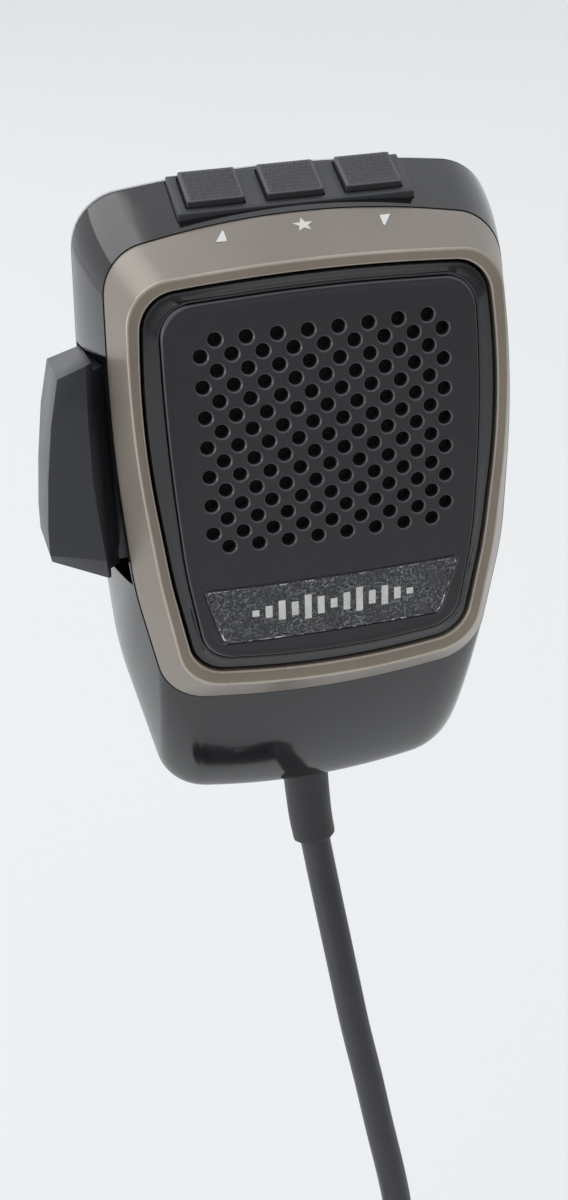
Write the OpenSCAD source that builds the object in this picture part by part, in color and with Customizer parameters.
// Hand microphone with push-to-talk lever, three-key pad, coiled lead and round plug.
// Frame: origin on the rear face at the foot of the hang-up stud, +Z up along the
// microphone, the grille faces -Y and the push-to-talk lever is on the -X side.
// "Depth" always means the distance behind the crown of the grille, towards +Y.

/* [Housing] */
// Width of the housing at its part line
body_w = 61.4; // [60.6:0.2:62.4]
// Height of the housing top above the stud axis
body_top = 32.6; // [32.2:0.1:33]
// Distance of the housing bottom below the stud axis
body_bottom = 65.7; // [65.2:0.1:66.4]
// Front-to-back depth of the housing
body_d = 30; // [29.6:0.2:31]
// Distance from the rear face to the part line
part_back = 9.2; // [9:0.1:9.6]
// Wall thickness of both shells
wall = 2; // [1.8:0.1:2.2]
// Radius of the slightly domed front
dome_r = 228; // [200:4:260]

/* [Grille] */
// Half of the diagonal spacing of the grille holes
half_pitch = 2.1; // [2:0.02:2.2]
// Diameter of a grille hole
hole_d = 1.95; // [1.6:0.05:2.1]
// Thickness of the grille plate
grille_t = 1.8; // [1.6:0.1:1.9]

/* [Push-to-talk lever] */
// Height of the lever's pivot pin above the stud axis
pivot_z = 9.5; // [9.3:0.1:9.7]
// Distance of the pivot pin from the middle of the housing
pivot_x = 24.5; // [24.3:0.1:24.7]
// Diameter of the pivot pin
pivot_d = 2; // [1.8:0.1:2.2]

/* [Keys] */
// Spacing of the three keys
key_pitch = 11.05; // [10.9:0.05:11.2]
// Width of a key cap
key_w = 7.9; // [7.6:0.1:8.1]
// Length of a key cap up the slope
key_len = 7; // [6.8:0.1:7.1]
// Height of a key cap above the pad
key_rise = 0.95; // [0.8:0.05:1.1]

/* [Hang-up stud] */
// Diameter of the stud's head
stud_head_d = 11.5; // [11:0.1:12]
// Diameter of the stud's neck
stud_neck_d = 6; // [5.8:0.1:6.4]
// Length of the stud's neck
stud_neck_l = 3.5; // [3.2:0.1:4]

/* [Lead] */
// Diameter of the lead
cord_d = 5; // [4.8:0.1:5]
// Outer diameter of the coiled part
coil_d = 14.4; // [14:0.1:14.6]
// Spacing of the folded coiled runs
run_pitch = 16; // [15.6:0.1:16.2]
// Outer diameter of the plug's coupling ring
ring_d = 17; // [16.6:0.1:17.2]

/* [Hidden] */

half_w = body_w / 2;
part_d = body_d - part_back;
part_y = -part_back;
fine = 64;
round_fn = 32;
gap = 0.12;

// ---- outlines -------------------------------------------------------------
// Each outline lists the corners of its right half as [x, z, fillet radius],
// from the middle of the top round to the middle of the bottom.
PART_LINE = [[0, body_top + 1.25, 175], [half_w - 0.8, body_top - 2.2, 8], [half_w + 0.4, 2, 220],
    [half_w - 1.8, -37, 60], [half_w - 7.7, 2.5 - body_bottom, 9], [0, -body_bottom - 1.1, 100]];
SEAM = [[0, 29.9, 118], [27.7, 25.4, 7], [29, 2, 200], [27.6, -22, 60], [23.9, -41, 8],
    [0, -44, 120]];
RIDGE = [[0, 24.7, 200], [25.8, 22.4, 6.5], [26.9, 3, 150], [24.5, -20, 80], [21.7, -36.5, 6.5],
    [0, -38.9, 150]];
INNER = [[0, 23.2, 200], [24, 21, 5.5], [25.5, 3, 120], [22.9, -20, 80], [20.2, -34.7, 5.5],
    [0, -36.4, 150]];
GRILLE = [[0, 20.5, 200], [21.7, 19.3, 4.5], [22.2, 3, 250], [20.9, -18, 80], [18.6, -32.2, 4.5],
    [0, -33.8, 150]];
WINDOW = [[0, 18.2, 150], [18.5, 17, 4], [18.8, 2, 200], [18.6, -8, 200], [18, -17, 4],
    [0, -18.2, 150]];
arc_steps = 5;

function unit(v) = v / norm(v);
function fillet(a, b, c, r) =
    let (u = unit(a - b), v = unit(c - b), half = acos(u * v) / 2,
         start = b + u * r / tan(half), centre = b + unit(u + v) * r / sin(half),
         turn = (180 - 2 * half) * sign(cross(b - a, c - b)),
         angle = atan2(start.y - centre.y, start.x - centre.x))
    [for (k = [0:arc_steps]) centre + r * [cos(angle + turn * k / arc_steps),
                                           sin(angle + turn * k / arc_steps)]];
function mirrored(half) = concat(half, [for (k = [4:-1:1]) [-half[k].x, half[k].y, half[k].z]]);
function flat(c) = [c.x, c.y];
function outline(half) =
    let (c = mirrored(half), n = len(c))
    [for (k = [0:n - 1])
        each fillet(flat(c[(k + n - 1) % n]), flat(c[k]), flat(c[(k + 1) % n]), c[k].z)];
// Moves an outline inwards by w: 0 and 1 are top corners, 4 and 5 are bottom corners.
// The wide arcs at 0 and 5 shrink faster than the edges beside them, so arcs never meet.
function inset_radius(half, k, w) =
    k == 0 ? half[0].z * (1 - 1.4 * w / half[1].x) :
    k == 5 ? half[5].z * (1 - 1.4 * w / half[4].x) :
    k == 1 || k == 4 ? max(half[k].z - w, 5) : half[k].z;
function inset(half, w) = [for (k = [0:5])
    [half[k].x == 0 ? 0 : half[k].x - w,
     half[k].y - (k < 2 ? w : k > 3 ? -w : 0),
     inset_radius(half, k, w)]];

// ---- surfaces -------------------------------------------------------------
dome_mid = -6;
function dome(p) = (p.x * p.x + pow(p.y - dome_mid, 2)) / (2 * dome_r);
function seam_depth(z) = 7 + (z > dome_mid ? 0.0033 : 0.0013) * pow(z - dome_mid, 2);
function at_depth(p, d) = [p.x, d - body_d, p.y];
function dome_ring(half, below) = [for (p = outline(half)) at_depth(p, dome(p) + below)];
function seam_ring(half, below) = [for (p = outline(half)) at_depth(p, seam_depth(p.y) + below)];
function flat_ring(half, d) = [for (p = outline(half)) at_depth(p, d)];
function ease(u, e) = 1 - pow(1 - u, e);
// Side wall between the seam ring a and the part-line ring b, at u from 0 to 1.
side_bulge = 1.5;
chin_bulge = 1.25;
function side_ring(a, b, u) = [for (k = [0:len(a) - 1])
    [a[k].x + (b[k].x - a[k].x) * ease(u, side_bulge),
     a[k].y + (b[k].y - a[k].y) * u,
     a[k].z + (b[k].z - a[k].z) * ease(u, a[k].z > 0 ? 1 : chin_bulge)]];

// Closed skin through rings of equal length: a tube whose last ring joins the first.
module ring_skin(rings) {
    n = len(rings[0]);
    m = len(rings);
    points = [for (r = rings) each r];
    faces = [for (j = [0:m - 1]) for (k = [0:n - 1])
        let (a = j * n + k, b = j * n + (k + 1) % n,
             c = ((j + 1) % m) * n + k, d = ((j + 1) % m) * n + (k + 1) % n)
        each [[a, b, c], [b, d, c]]];
    polyhedron(points, faces, convexity = 8);
}

// Closed skin through rings, with a flat cap on the first and the last ring.
module capped_skin(rings) {
    n = len(rings[0]);
    m = len(rings);
    points = [for (r = rings) each r];
    sides = [for (j = [0:m - 2]) for (k = [0:n - 1])
        let (a = j * n + k, b = j * n + (k + 1) % n, c = a + n, d = b + n)
        each [[a, b, c], [b, d, c]]];
    caps = [[for (k = [n - 1:-1:0]) k], [for (k = [0:n - 1]) (m - 1) * n + k]];
    polyhedron(points, concat(sides, caps), convexity = 8);
}

// Round tube swept along a route, one ring of the given sides at each point.
function direction(route, k) = unit(route[min(k + 1, len(route) - 1)] - route[max(k - 1, 0)]);
function swept_ring(route, k, r, sides) =
    let (t = direction(route, k), u = unit(cross(t, abs(t.y) < 0.9 ? [0, 1, 0] : [1, 0, 0])),
         v = cross(t, u))
    [for (s = [0:sides - 1]) route[k] + r * (cos(360 * s / sides) * u + sin(360 * s / sides) * v)];
module swept_tube(route, r, sides) {
    capped_skin([for (k = [0:len(route) - 1]) swept_ring(route, k, r, sides)]);
}

// Cylinder along +Y from depth d1 to depth d2, at x and z.
module along_y(x, z, d1, d2, r, fn = fine) {
    translate([x, d2 - body_d, z]) rotate([90, 0, 0]) cylinder(h = d2 - d1, r = r, $fn = fn);
}
// Block between two depths.
module block(x1, x2, d1, d2, z1, z2) {
    translate([x1, d1 - body_d, z1]) cube([x2 - x1, d2 - d1, z2 - z1]);
}
// Part of a spherical layer of the domed front, between two depths below the crown.
module dome_layer(below1, below2) {
    translate([0, dome_r - body_d, dome_mid]) difference() {
        sphere(r = dome_r - below1, $fn = 180);
        sphere(r = dome_r - below2, $fn = 180);
    }
}
module dome_plate(points, below1, below2) {
    intersection() {
        dome_layer(below1, below2);
        translate([0, 12 - body_d, 0]) rotate([90, 0, 0]) linear_extrude(14) polygon(points);
    }
}

// ---- fastener positions ---------------------------------------------------
SHELL_SCREWS = [[-17.5, 17.5], [17.5, 17.5], [-12.5, -47], [12.5, -47]];
PCB_SCREWS = [[-17.8, 8], [19, 6], [-18.4, -33.6], [18.4, -33.6]];
CLAMP_SCREWS = [[-8.5, -54], [8.5, -54]];
module at_each(places) {
    for (p = places) translate([p.x, 0, p.y]) children();
}
deck_front = 5;
deck_back = 7;
pcb_front = 16;
pcb_back = 17.6;
boss_r = 3.5;
pilot_end = 15.2;
screw_seat = body_d - 6.6;

// ---- key pad frame --------------------------------------------------------
pad_w = 33;
pad_len = 8.9;
pad_depth = 16.1;
pad_proud = 0.35;
slope = atan((body_top - 28.3) / (part_d - 10.9));
pad_z = 28.3 + (pad_depth - 10.9) * tan(slope) + pad_proud;
pad_under = -3.5;
flange_under = -4.7;
key_flange = -5.6;
key_stem = -6.3;
switch_top = -7;
key_pcb_top = -9.5;
key_mid = 0.35;
// Local frame of the pad: X across, Y up the slope, Z out of the pad's face.
module at_pad() {
    translate([0, pad_depth - body_d, pad_z]) rotate([slope, 0, 0]) children();
}
module pad_block(x1, x2, y1, y2, z1, z2) {
    translate([x1, y1, z1]) cube([x2 - x1, y2 - y1, z2 - z1]);
}

// ---- housing --------------------------------------------------------------
// Hole for the strain relief in the rear shell, which only nicks the front shell's rim.
exit_depth = 24.3;
exit_y = exit_depth - body_d;
exit_top = -56.5;
exit_r = 3.85;
module lead_exit() {
    translate([0, exit_y, exit_top - 14]) cylinder(h = 14, r = exit_r, $fn = fine);
}
RIM = inset(RIDGE, 1);
SIDE_STEPS = [1, 0.8, 0.6, 0.4, 0.2];
module front_wall() {
    seam_out = seam_ring(SEAM, 0);
    part_out = flat_ring(PART_LINE, part_d);
    seam_in = seam_ring(inset(SEAM, wall), 1.5);
    part_in = flat_ring(inset(PART_LINE, wall), part_d);
    outside = [for (u = SIDE_STEPS) side_ring(seam_out, part_out, u)];
    inside = [for (u = [0.25, 0.5, 0.75, 1]) side_ring(seam_in, part_in, u)];
    ring_skin(concat(outside, [seam_out, dome_ring(RIM, deck_front), dome_ring(WINDOW, deck_front),
        dome_ring(WINDOW, deck_back), dome_ring(RIM, deck_back), seam_in], inside));
}

module front_bosses() {
    for (p = SHELL_SCREWS) along_y(p.x, p.y, p.y > 0 ? 8.4 : 13.4, part_d, boss_r);
    for (p = PCB_SCREWS) along_y(p.x, p.y, p.y > 0 ? 7.6 : 9, pcb_front, 2.5);
    along_y(-pivot_x, pivot_z, 8.3, 9.9, 3);
}

module front_shell() color([0.05, 0.05, 0.06]) {
    lever_top = 11;
    lever_bottom = -21.6;
    difference() {
        union() {
            difference() {
                front_wall();
                block(-40, -25.9, 7.6, part_d + 1, lever_bottom, lever_top);
                at_pad() pad_block(-pad_w / 2 - gap, pad_w / 2 + gap, -pad_len / 2 - gap,
                    pad_len / 2 + gap, -6, 4);
            }
            front_bosses();
        }
        for (p = SHELL_SCREWS) along_y(p.x, p.y, pilot_end, part_d + 1, 1.45);
        for (p = PCB_SCREWS) along_y(p.x, p.y, 10.4, pcb_front + 1, 1.05);
        along_y(-pivot_x, pivot_z, 8.9, 11, pivot_d / 2 + 0.02);
        lead_exit();
    }
}

// The rear edge is a quarter ellipse round the flat back.
edge_inset = 7.5;
function rear_ring(by, d) = flat_ring(inset(PART_LINE, by), d);
module rear_wall() {
    outer = [for (a = [72:-18:0]) rear_ring(edge_inset * (1 - cos(a)), part_d + part_back * sin(a))];
    inner = [for (a = [0:30:60]) rear_ring(wall + (edge_inset - wall) * (1 - cos(a)),
        part_d + (part_back - wall) * sin(a))];
    capped_skin(concat([rear_ring(edge_inset, body_d)], outer, inner,
        [rear_ring(edge_inset, body_d - wall)]));
}

module rear_shell() color([0.05, 0.05, 0.06]) {
    difference() {
        union() {
            rear_wall();
            for (p = SHELL_SCREWS) along_y(p.x, p.y, part_d, body_d - 1, 3.9);
            along_y(-pivot_x, pivot_z, 20, 25.2, 3);
            for (p = CLAMP_SCREWS) along_y(p.x, p.y, clamp_boss, body_d - 1, clamp_post_r);
            block(-3.5, 3.5, exit_depth + cord_d / 2 + 0.1, body_d - 1, -55, -53);
        }
        for (p = CLAMP_SCREWS) along_y(p.x, p.y, clamp_boss - 1, body_d - 2.3, 1.15);
        for (p = SHELL_SCREWS) {
            along_y(p.x, p.y, screw_seat, body_d + 2, 3.1);
            along_y(p.x, p.y, part_d - 1, screw_seat + 1, 1.6);
        }
        along_y(-pivot_x, pivot_z, 19, 23.8, pivot_d / 2 + 0.02);
        along_y(0, 0, 26, body_d + 1, 1.6);
        lead_exit();
        at_pad() pad_block(-pad_w / 2 - gap, pad_w / 2 + gap, 0, pad_len / 2 + gap, -6, 1);
    }
}

module bezel() color([0.55, 0.51, 0.46]) {
    lift = 0.1;
    ring_skin([seam_ring(SEAM, -lift), dome_ring(RIDGE, 0), dome_ring(INNER, 0.45),
        dome_ring(INNER, deck_front - lift), dome_ring(RIM, deck_front - lift)]);
}

module grille_surround() color([0.13, 0.13, 0.14]) {
    outer = inset(INNER, 0.35);
    seat = grille_t + 0.15;
    ring_skin([dome_ring(outer, deck_front - 0.15), dome_ring(outer, 1.5),
        dome_ring(inset(INNER, 0.9), 0.95), dome_ring(inset(INNER, 1.6), 0.95),
        dome_ring(inset(GRILLE, -0.3), 1.2), dome_ring(inset(GRILLE, -0.3), seat),
        dome_ring(WINDOW, seat), dome_ring(WINDOW, deck_front - 0.15)]);
}

// Rows of holes: 15 staggered rows, of 8 and 9 holes in turn.
module grille_holes(r) {
    for (row = [-7:7]) for (k = [0:(row % 2 == 0 ? 8 : 7)])
        along_y((2 * k - (row % 2 == 0 ? 8 : 7)) * half_pitch, row * half_pitch, -2, 8, r, 24);
}
LABEL = [[18.9, -21.2], [16.4, -30.4]];
module label_area(margin) {
    top = LABEL[0].y - margin;
    bottom = LABEL[1].y + margin;
    translate([0, 12 - body_d, 0]) rotate([90, 0, 0]) linear_extrude(14) polygon([
        [-LABEL[0].x + margin, top], [LABEL[0].x - margin, top],
        [LABEL[1].x - margin, bottom], [-LABEL[1].x + margin, bottom]]);
}
label_recess = 0.5;
module grille_plate() color([0.2, 0.2, 0.21]) {
    difference() {
        dome_plate(outline(GRILLE), 0, grille_t);
        grille_holes(hole_d / 2);
        intersection() {
            dome_layer(-1, label_recess);
            label_area(0);
        }
    }
}
module nameplate() color([0.12, 0.12, 0.13]) {
    intersection() {
        dome_layer(0.1, label_recess - 0.02);
        label_area(0.15);
    }
}
module nameplate_film() color([0.75, 0.77, 0.78, 0.4]) {
    intersection() {
        dome_layer(-0.06, 0.08);
        label_area(0.25);
    }
}
CLOTH = [[17.6, 13], [13.6, 17], [-13.6, 17], [-17.6, 13], [-17.6, -13.4], [-14, -17.2],
    [14, -17.2], [17.6, -13.4]];
module dust_cloth() color([0.08, 0.08, 0.08]) {
    dome_plate(CLOTH, grille_t + 0.1, grille_t + 0.5);
}

// ---- electronics ----------------------------------------------------------
capsule_z = 1;
module capsule_boot() color([0.1, 0.1, 0.1]) {
    difference() {
        along_y(0, capsule_z, 7.3, pcb_front - 0.05, 7.5);
        along_y(0, capsule_z, 9, pcb_front + 1, 4.9);
        along_y(0, capsule_z, 6, 10, 3.6);
    }
}
module mic_capsule() color([0.75, 0.76, 0.78]) {
    difference() {
        along_y(0, capsule_z, 9.1, 15, 4.85);
        along_y(0, capsule_z, 8, 9.6, 2.4);
    }
}
module main_pcb() color([0.08, 0.35, 0.16]) {
    difference() {
        block(-21, 21, pcb_front, pcb_back, -40, 12);
        for (p = PCB_SCREWS) along_y(p.x, p.y, pcb_front - 1, pcb_back + 1, 1.2);
    }
}
chip_rows = 5;
module pcb_components() color([0.07, 0.07, 0.07]) {
    block(-6, 4, pcb_front - 1.3, pcb_front, -24, -14);
    for (k = [0:chip_rows - 1])
        block(8 + 2 * (k % 2), 9.2 + 2 * (k % 2), pcb_front - 0.6, pcb_front, -24 + 3 * k, -22 + 3 * k);
    for (x = [-12.5, 13.5]) along_y(x, -30, pcb_front - 6, pcb_front, 2.5, round_fn);
    block(-5.5, 5.5, pcb_back, pcb_back + 2, 6.5, 10.5);
    block(9, 16, pcb_back, pcb_back + 1.2, -8, -1);
}
header_z = -37;
wire_pitch = 2.5;
module wire_header() color([0.9, 0.88, 0.82]) {
    difference() {
        block(-8.2, 8.2, pcb_back, pcb_back + 5, header_z, -31);
        for (k = [-2.5:2.5])
            translate([k * wire_pitch, pcb_back + 3 - body_d, header_z - 1])
                cylinder(h = 4, r = 0.75, $fn = 24);
    }
}
lead_start = -50;
// Six wires fan out from the end of the lead to the header, each an easy S-bend.
function wire_route(k) = let (side = (k + 2.5) % 2 == 0 ? 1 : -1,
        from = [k * 0.7, exit_y + side * 0.8, lead_start],
        to = [k * wire_pitch, pcb_back + 3 - body_d, header_z + 2])
    [for (s = [0:0.125:1]) let (e = s * s * (3 - 2 * s))
        [from.x + (to.x - from.x) * e, from.y + (to.y - from.y) * e,
         from.z + (to.z - from.z) * s]];
module inner_wires() color([0.75, 0.2, 0.15]) {
    for (k = [-2.5:2.5]) swept_tube(wire_route(k), 0.45, 8);
}
module round_head(r, h) {
    cylinder(h = h * 0.6, r = r, $fn = round_fn);
    translate([0, 0, h * 0.6]) cylinder(h = h * 0.4, r1 = r, r2 = r * 0.7, $fn = round_fn);
}
// Screw driven towards -Y: its head's seat is at the given depth.
module screw(seat, head_r, head_h, shank_r, shank_l) {
    translate([0, seat - body_d, 0]) rotate([-90, 0, 0]) {
        difference() {
            round_head(head_r, head_h);
            translate([0, 0, head_h * 0.45])
                linear_extrude(head_h) square([head_r * 1.1, head_r * 0.26], center = true);
            translate([0, 0, head_h * 0.45])
                linear_extrude(head_h) square([head_r * 0.26, head_r * 1.1], center = true);
        }
        translate([0, 0, -shank_l]) cylinder(h = shank_l, r = shank_r, $fn = round_fn);
    }
}
module pcb_screws() color([0.75, 0.75, 0.75]) {
    at_each(PCB_SCREWS) screw(pcb_back, 2.2, 1.5, 1, 6.6);
}
module shell_screws() color([0.3, 0.3, 0.32]) {
    at_each(SHELL_SCREWS) screw(screw_seat, 2.7, 2, 1.4, screw_seat - pilot_end - 0.4);
}

// ---- push-to-talk switch and lever ----------------------------------------
switch_z = -7.5;
switch_mid = 13.1;
switch_face = -23.2;
arm_face = -25.6;
module ptt_switch() color([0.16, 0.16, 0.18]) {
    difference() {
        block(switch_face, -16.7, 10.3, pcb_front, switch_z - 6.4, switch_z + 6.4);
        translate([switch_face - 1, switch_mid - body_d, switch_z]) rotate([0, 90, 0])
            cylinder(h = 4.6, r = 1.25, $fn = fine);
    }
}
module ptt_switch_plunger() color([0.8, 0.2, 0.15]) {
    translate([arm_face + 0.25, switch_mid - body_d, switch_z]) rotate([0, 90, 0])
        cylinder(h = 4.2, r = 1.2, $fn = fine);
}

// Blade sections from top to bottom: [outer x, ridge x, z at the outer back, at the outer
// front edge, at the ridge and at the inner back].
BLADE = [[-35.2, -31.4, 9.2, 9.6, 11.5, 10.6], [-36.7, -31.8, 3, 3, 3, 3], [-37.9, -31.9, -5, -5, -5, -5],
    [-38.6, -31.5, -12, -12, -12, -12], [-38.7, -31.1, -15.9, -15.7, -17, -15.9]];
blade_back = 19.8;
blade_front = 8.5;
blade_ridge = 6.95;
blade_in = -30.4;
flange_in = -28.7;
function blade_ring(s) = [[s[0], blade_back - body_d, s[2]], [s[0], blade_front - body_d, s[3]],
    [s[1], blade_ridge - body_d, s[4]], [blade_in, 8 - body_d, s[4]],
    [blade_in, blade_back - body_d, s[5]]];
module blade() {
    foot = [[-38.4, blade_back - body_d, -17.3], [-38.4, 10 - body_d, -17.3],
        [-30.8, 8.6 - body_d, -20.4], [blade_in, 8.8 - body_d, -20.4],
        [blade_in, blade_back - body_d, -20.4]];
    capped_skin(concat([for (s = BLADE) blade_ring(s)], [foot]));
}
// Flange between the blade and the housing: its front slopes back towards the housing.
flange_top = 10.3;
flange_foot = -19.6;
function flange_ring(x, back) = [[x, blade_back - body_d, flange_top],
    [x, 7.95 + back - body_d, flange_top], [x, 7.95 + back - body_d, -15.5],
    [x, 9.4 + back - body_d, flange_foot], [x, blade_back - body_d, flange_foot]];
module lever_flange() {
    capped_skin([flange_ring(flange_in, 2), flange_ring(blade_in - 0.5, 0)]);
}
module ptt_lever() color([0.17, 0.17, 0.19]) {
    hub_front = 10.1;
    hub_back = 17.4;
    difference() {
        union() {
            blade();
            lever_flange();
            block(flange_in - 0.2, arm_face, hub_front, hub_back, -18.3, 10.2);
            along_y(-pivot_x, pivot_z, hub_front, hub_back, 2.5);
            block(-26.15, -24.9, 12.6, 17, -23.4, -18);
            block(-28, -25, 12, 17, -18.3, -16.3);
        }
        along_y(-pivot_x, pivot_z, 5, body_d, pivot_d / 2 + 0.05);
    }
}
module ptt_pivot_pin() color([0.78, 0.78, 0.8]) {
    along_y(-pivot_x, pivot_z, 9, 23.7, pivot_d / 2);
}
spring_wire = 0.25;
module ptt_spring() color([0.7, 0.7, 0.72]) {
    coil = [for (a = [0:36:1080]) [-pivot_x + 1.9 * cos(a), 17.85 + a / 720 - body_d,
        pivot_z + 1.9 * sin(a)]];
    leg = [[-pivot_x + 1.9, 17.8 - body_d, pivot_z - 3], [-pivot_x + 1.9, 17.8 - body_d, pivot_z - 6.5]];
    swept_tube(concat([leg[1], leg[0]], coil), spring_wire, 6);
}

// ---- keys -----------------------------------------------------------------
module key_pad() color([0.28, 0.28, 0.29]) {
    at_pad() difference() {
        union() {
            pad_block(-pad_w / 2, pad_w / 2, -pad_len / 2, pad_len / 2, pad_under, 0);
            pad_block(-15.5, 15.5, -4.3, 3.4, flange_under, pad_under);
            for (x = [-0.5, 0.5]) translate([x * key_pitch, key_mid, key_pcb_top - 1.4])
                cylinder(h = 7, r = 0.75, $fn = round_fn);
        }
        for (k = [-1:1]) translate([k * key_pitch, key_mid, 0])
            cube([key_w + 0.3, key_len + 0.3, 12], center = true);
    }
}
module key_cap(k) {
    at_pad() translate([k * key_pitch, key_mid, 0]) {
        translate([-key_w / 2, -key_len / 2, flange_under - 0.4])
            cube([key_w, key_len, key_rise - flange_under + 0.4]);
        translate([-4.5, -4, key_flange]) cube([9, 8, flange_under - 0.15 - key_flange]);
        translate([0, 0, key_stem]) cylinder(h = 1.2, r = 1.5, $fn = round_fn);
    }
}
module key_up() color([0.23, 0.23, 0.24]) key_cap(-1);
module key_star() color([0.23, 0.23, 0.24]) key_cap(0);
module key_down() color([0.23, 0.23, 0.24]) key_cap(1);
module key_plunger(k) {
    at_pad() translate([k * key_pitch, key_mid, switch_top - 0.9])
        cylinder(h = key_stem - 0.02 - switch_top + 0.9, r = 1.65, $fn = fine);
}
module plunger_up() color([0.1, 0.1, 0.1]) key_plunger(-1);
module plunger_star() color([0.1, 0.1, 0.1]) key_plunger(0);
module plunger_down() color([0.1, 0.1, 0.1]) key_plunger(1);
module key_switches() color([0.6, 0.6, 0.62]) {
    at_pad() for (k = [-1:1]) translate([k * key_pitch, key_mid, 0]) difference() {
        pad_block(-3, 3, -3, 3, key_pcb_top, switch_top);
        translate([0, 0, switch_top - 1.8]) cylinder(h = 3, r = 1.75, $fn = fine);
    }
}
module key_pcb() color([0.08, 0.35, 0.16]) {
    at_pad() difference() {
        pad_block(-14.2, 14.2, -4.3, 4.6, key_pcb_top - 1, key_pcb_top);
        for (x = [-0.5, 0.5]) translate([x * key_pitch, key_mid, key_pcb_top - 2])
            cylinder(h = 3, r = 0.82, $fn = round_fn);
    }
}
module key_flex() color([0.75, 0.55, 0.2]) {
    run = [[17.2, 19.6], [18.5, 16.5], [18.9, 13.5], [18.9, 10.7]];
    thick = 0.25;
    translate([4, 0, 0]) rotate([90, 0, -90]) linear_extrude(8)
        polygon([for (p = run) [body_d - p.x, p.y], for (k = [3:-1:0])
            [body_d - run[k].x - thick, run[k].y]]);
}

// ---- stud and cable entry -------------------------------------------------
module hang_stud() color([0.8, 0.8, 0.82]) {
    head_r = stud_head_d / 2;
    neck_r = stud_neck_d / 2;
    rotate([-90, 0, 0]) difference() {
        rotate_extrude($fn = fine) polygon([[0, 0.02], [neck_r + 0.8, 0.02], [neck_r, 0.8],
            [neck_r, stud_neck_l], [head_r - 0.3, stud_neck_l], [head_r, stud_neck_l + 0.3],
            [head_r, stud_neck_l + 1.3], [head_r - 1, stud_neck_l + 2.1], [head_r - 3, stud_neck_l + 2.5],
            [0, stud_neck_l + 2.6]]);
        translate([0, 0, -1]) cylinder(h = 5.2, r = 1.55, $fn = fine);
    }
}
module stud_screw() color([0.75, 0.75, 0.76]) {
    rotate([90, 0, 0]) {
        translate([0, 0, wall + 0.8]) round_head(3, 2.2);
        translate([0, 0, -4]) cylinder(h = wall + 5, r = 1.5, $fn = fine);
    }
}
module stud_washer() color([0.8, 0.8, 0.8]) {
    rotate([90, 0, 0]) translate([0, 0, wall + 0.05]) difference() {
        cylinder(h = 0.7, r = 4.5, $fn = fine);
        translate([0, 0, -1]) cylinder(h = 3, r = 1.7, $fn = fine);
    }
}
// The relief follows the lead: its radius at the lead's points from relief_first on.
relief_first = 1;
RELIEF_R = [3.72, 3.72, 3.65, 3.58, 3.5, 2.9];
function relief_ring(k, r) = swept_ring(LEAD, relief_first + k, r, 24);
module strain_relief() color([0.1, 0.1, 0.1]) {
    last = len(RELIEF_R) - 1;
    ring_skin(concat([for (k = [0:last]) relief_ring(k, RELIEF_R[k])],
        [for (k = [last:-1:0]) relief_ring(k, cord_d / 2 + 0.03)]));
}
// The bar holds the lead against a saddle on the rear shell.
clamp_front = 20.2;
clamp_back = 21.7;
clamp_boss = 22.1;
clamp_post_r = 2.4;
module cable_clamp() color([0.15, 0.15, 0.16]) {
    difference() {
        union() {
            block(-11, 11, clamp_front, clamp_back, -56.6, -51.4);
            for (p = CLAMP_SCREWS) along_y(p.x, p.y, clamp_front, clamp_boss - 0.05, clamp_post_r);
        }
        for (p = CLAMP_SCREWS) along_y(p.x, p.y, clamp_front - 1, clamp_boss + 1, 1.25);
    }
}
module clamp_screws() color([0.75, 0.75, 0.75]) {
    at_each(CLAMP_SCREWS) translate([0, 2 * (clamp_front - body_d), 0]) mirror([0, 1, 0])
        screw(clamp_front, 2.1, 1.3, 1.1, 7);
}

// ---- lead, coil and plug --------------------------------------------------
// Route of the straight lead, down and forwards from the strain relief.
LEAD = [[0, -5.7, -50], [0, -5.7, -57], [0, -5.7, -64], [0.15, -5.8, -69], [0.4, -6.3, -74.5],
    [0.75, -6.8, -78], [0.85, -7, -78.9], [1.3, -8, -83.4], [1.8, -9.4, -88.5], [2.4, -11.4, -94.8],
    [3.2, -13.9, -103], [4.1, -16.3, -111.7], [5.4, -18.5, -120.8], [6.6, -20.6, -130.3],
    [7.9, -22.6, -139.6], [8.6, -23.8, -146.5], [8.9, -24.6, -152.5], [9, -25, -158.5],
    [9, -25, -164]];
hank_x = 9;
hank_y = -25;
hank_top = -176;
hank_foot = -276;
run_end = -222;
tail_end = -236;
module mic_lead() color([0.16, 0.16, 0.17]) swept_tube(LEAD, cord_d / 2, 10);
module coil_run(k, from, to) {
    translate([hank_x - k * run_pitch, hank_y, to]) cylinder(h = from - to, r = coil_d / 2, $fn = fine);
}
module coil_bend(k, z, turn) {
    translate([hank_x - k * run_pitch - run_pitch / 2, hank_y, z]) rotate([90, 0, 0])
        rotate([0, 0, turn]) rotate_extrude(angle = 180, $fn = fine)
            translate([run_pitch / 2, 0]) circle(r = coil_d / 2, $fn = fine);
}
module coiled_lead() color([0.14, 0.14, 0.15]) {
    coil_run(0, -164, hank_foot);
    coil_bend(0, hank_foot, 180);
    coil_run(1, hank_top, hank_foot);
    coil_bend(1, hank_top, 0);
    coil_run(2, hank_top, run_end);
}
plug_x = hank_x - 2 * run_pitch;
module on_plug(z) {
    translate([plug_x, hank_y, z]) children();
}
module lead_tail() color([0.16, 0.16, 0.17]) {
    swept_tube([for (z = [run_end, -229, tail_end]) [plug_x, hank_y, z]], cord_d / 2, 10);
}
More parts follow.
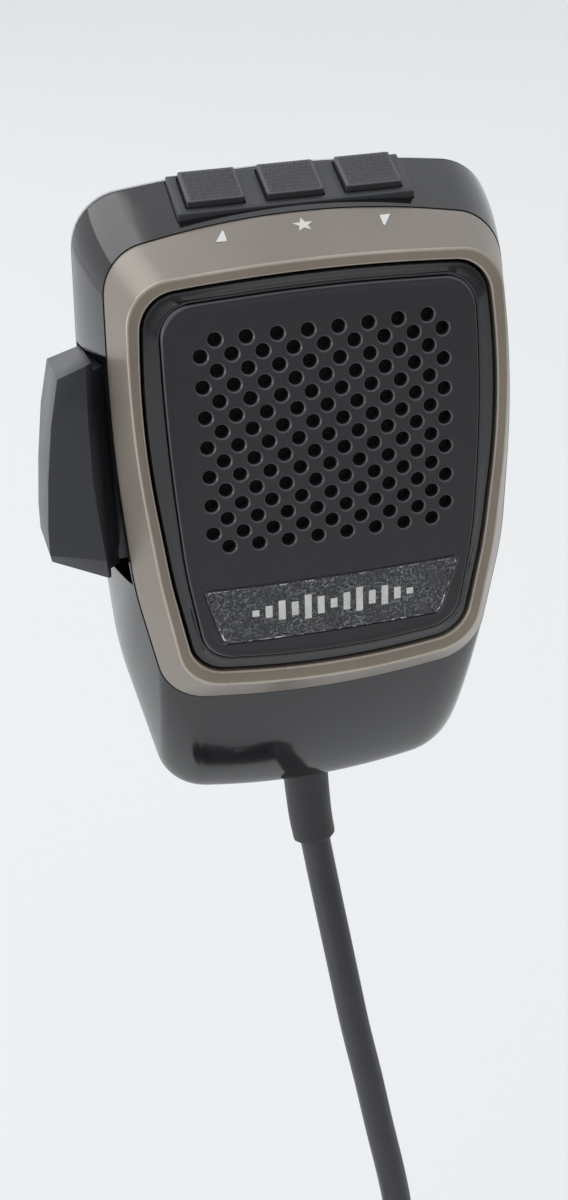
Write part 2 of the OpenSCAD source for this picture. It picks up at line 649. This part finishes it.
// Outline round the three runs: a slot as wide as the hank.
module tie_outline(r) {
    for (s = [-1, 1]) translate([plug_x + run_pitch + s * run_pitch, hank_y]) circle(r = r, $fn = fine);
    translate([plug_x + run_pitch, hank_y]) square([2 * run_pitch, 2 * r], center = true);
}
module lead_tie() color([0.1, 0.1, 0.1]) {
    tie_z = -208;
    translate([0, 0, tie_z]) linear_extrude(8) difference() {
        tie_outline(coil_d / 2 + 1.3);
        tie_outline(coil_d / 2 + 0.1);
    }
}
boot_end = -244;
ring_top = -256;
ring_end = -270;
module plug_boot() color([0.1, 0.1, 0.1]) {
    on_plug(0) rotate_extrude($fn = fine) polygon([[0, tail_end], [3.6, tail_end],
        [4.6, boot_end + 0.5], [4.6, boot_end], [0, boot_end]]);
}
module plug_barrel() color([0.8, 0.8, 0.82]) {
    on_plug(0) difference() {
        rotate_extrude($fn = fine) polygon([[0, boot_end], [5.6, boot_end], [6.6, boot_end - 1],
            [7.4, boot_end - 5], [7.4, -255.6], [6.6, -255.6], [6.6, -259.2], [7.5, -259.3],
            [7.5, -261], [0, -261]]);
        for (s = [-1, 1]) translate([0, s * 5.4, boot_end - 5])
            rotate([90, 0, 0]) cylinder(h = 4, r = 1.05, center = true, $fn = round_fn);
    }
}
module plug_insert() color([0.2, 0.12, 0.08]) {
    on_plug(-268.6) difference() {
        cylinder(h = 7.55, r = 5.6, $fn = fine);
        translate([0, 5.6, -1]) cylinder(h = 9, r = 0.9, $fn = round_fn);
        translate([0, 0, -1]) pin_circle() cylinder(h = 7, r = 0.85, $fn = 24);
    }
}
pin_count = 6;
module pin_circle() {
    for (k = [0:pin_count - 2]) rotate([0, 0, 72 * k + 36]) translate([3.3, 0, 0]) children();
    children();
}
module plug_pins() color([0.85, 0.75, 0.4]) {
    on_plug(-268.2) pin_circle() difference() {
        cylinder(h = 5.5, r = 0.8, $fn = 24);
        translate([0, 0, -1]) cylinder(h = 4, r = 0.5, $fn = 24);
    }
}
module plug_ring() color([0.82, 0.82, 0.84]) {
    flutes = 24;
    on_plug(0) difference() {
        rotate_extrude($fn = fine) polygon([[6.7, ring_top], [ring_d / 2 - 0.6, ring_top],
            [ring_d / 2, ring_top - 0.6], [ring_d / 2, ring_end + 0.6], [ring_d / 2 - 0.6, ring_end],
            [7.7, ring_end], [7.7, -259.1], [6.7, -259.1]]);
        for (k = [0:flutes - 1]) rotate([0, 0, 360 * k / flutes])
            translate([ring_d / 2 + 0.25, 0, ring_end + 2]) cylinder(h = 8, r = 0.6, $fn = 12);
    }
}
module plug_clamp_screws() color([0.6, 0.6, 0.62]) {
    for (s = [-1, 1]) on_plug(boot_end - 5) translate([0, s * 5.5, 0])
        rotate([90, 0, 0]) cylinder(h = 2.6, r = 1, center = true, $fn = round_fn);
}

front_shell();
rear_shell();
bezel();
grille_surround();
grille_plate();
nameplate();
nameplate_film();
dust_cloth();
capsule_boot();
mic_capsule();
main_pcb();
pcb_components();
wire_header();
inner_wires();
pcb_screws();
ptt_switch();
ptt_switch_plunger();
ptt_lever();
ptt_pivot_pin();
ptt_spring();
key_pad();
key_pcb();
key_switches();
key_flex();
key_up();
key_star();
key_down();
plunger_up();
plunger_star();
plunger_down();
strain_relief();
cable_clamp();
clamp_screws();
hang_stud();
stud_screw();
stud_washer();
shell_screws();
mic_lead();
coiled_lead();
lead_tail();
lead_tie();
plug_boot();
plug_barrel();
plug_insert();
plug_pins();
plug_ring();
plug_clamp_screws();
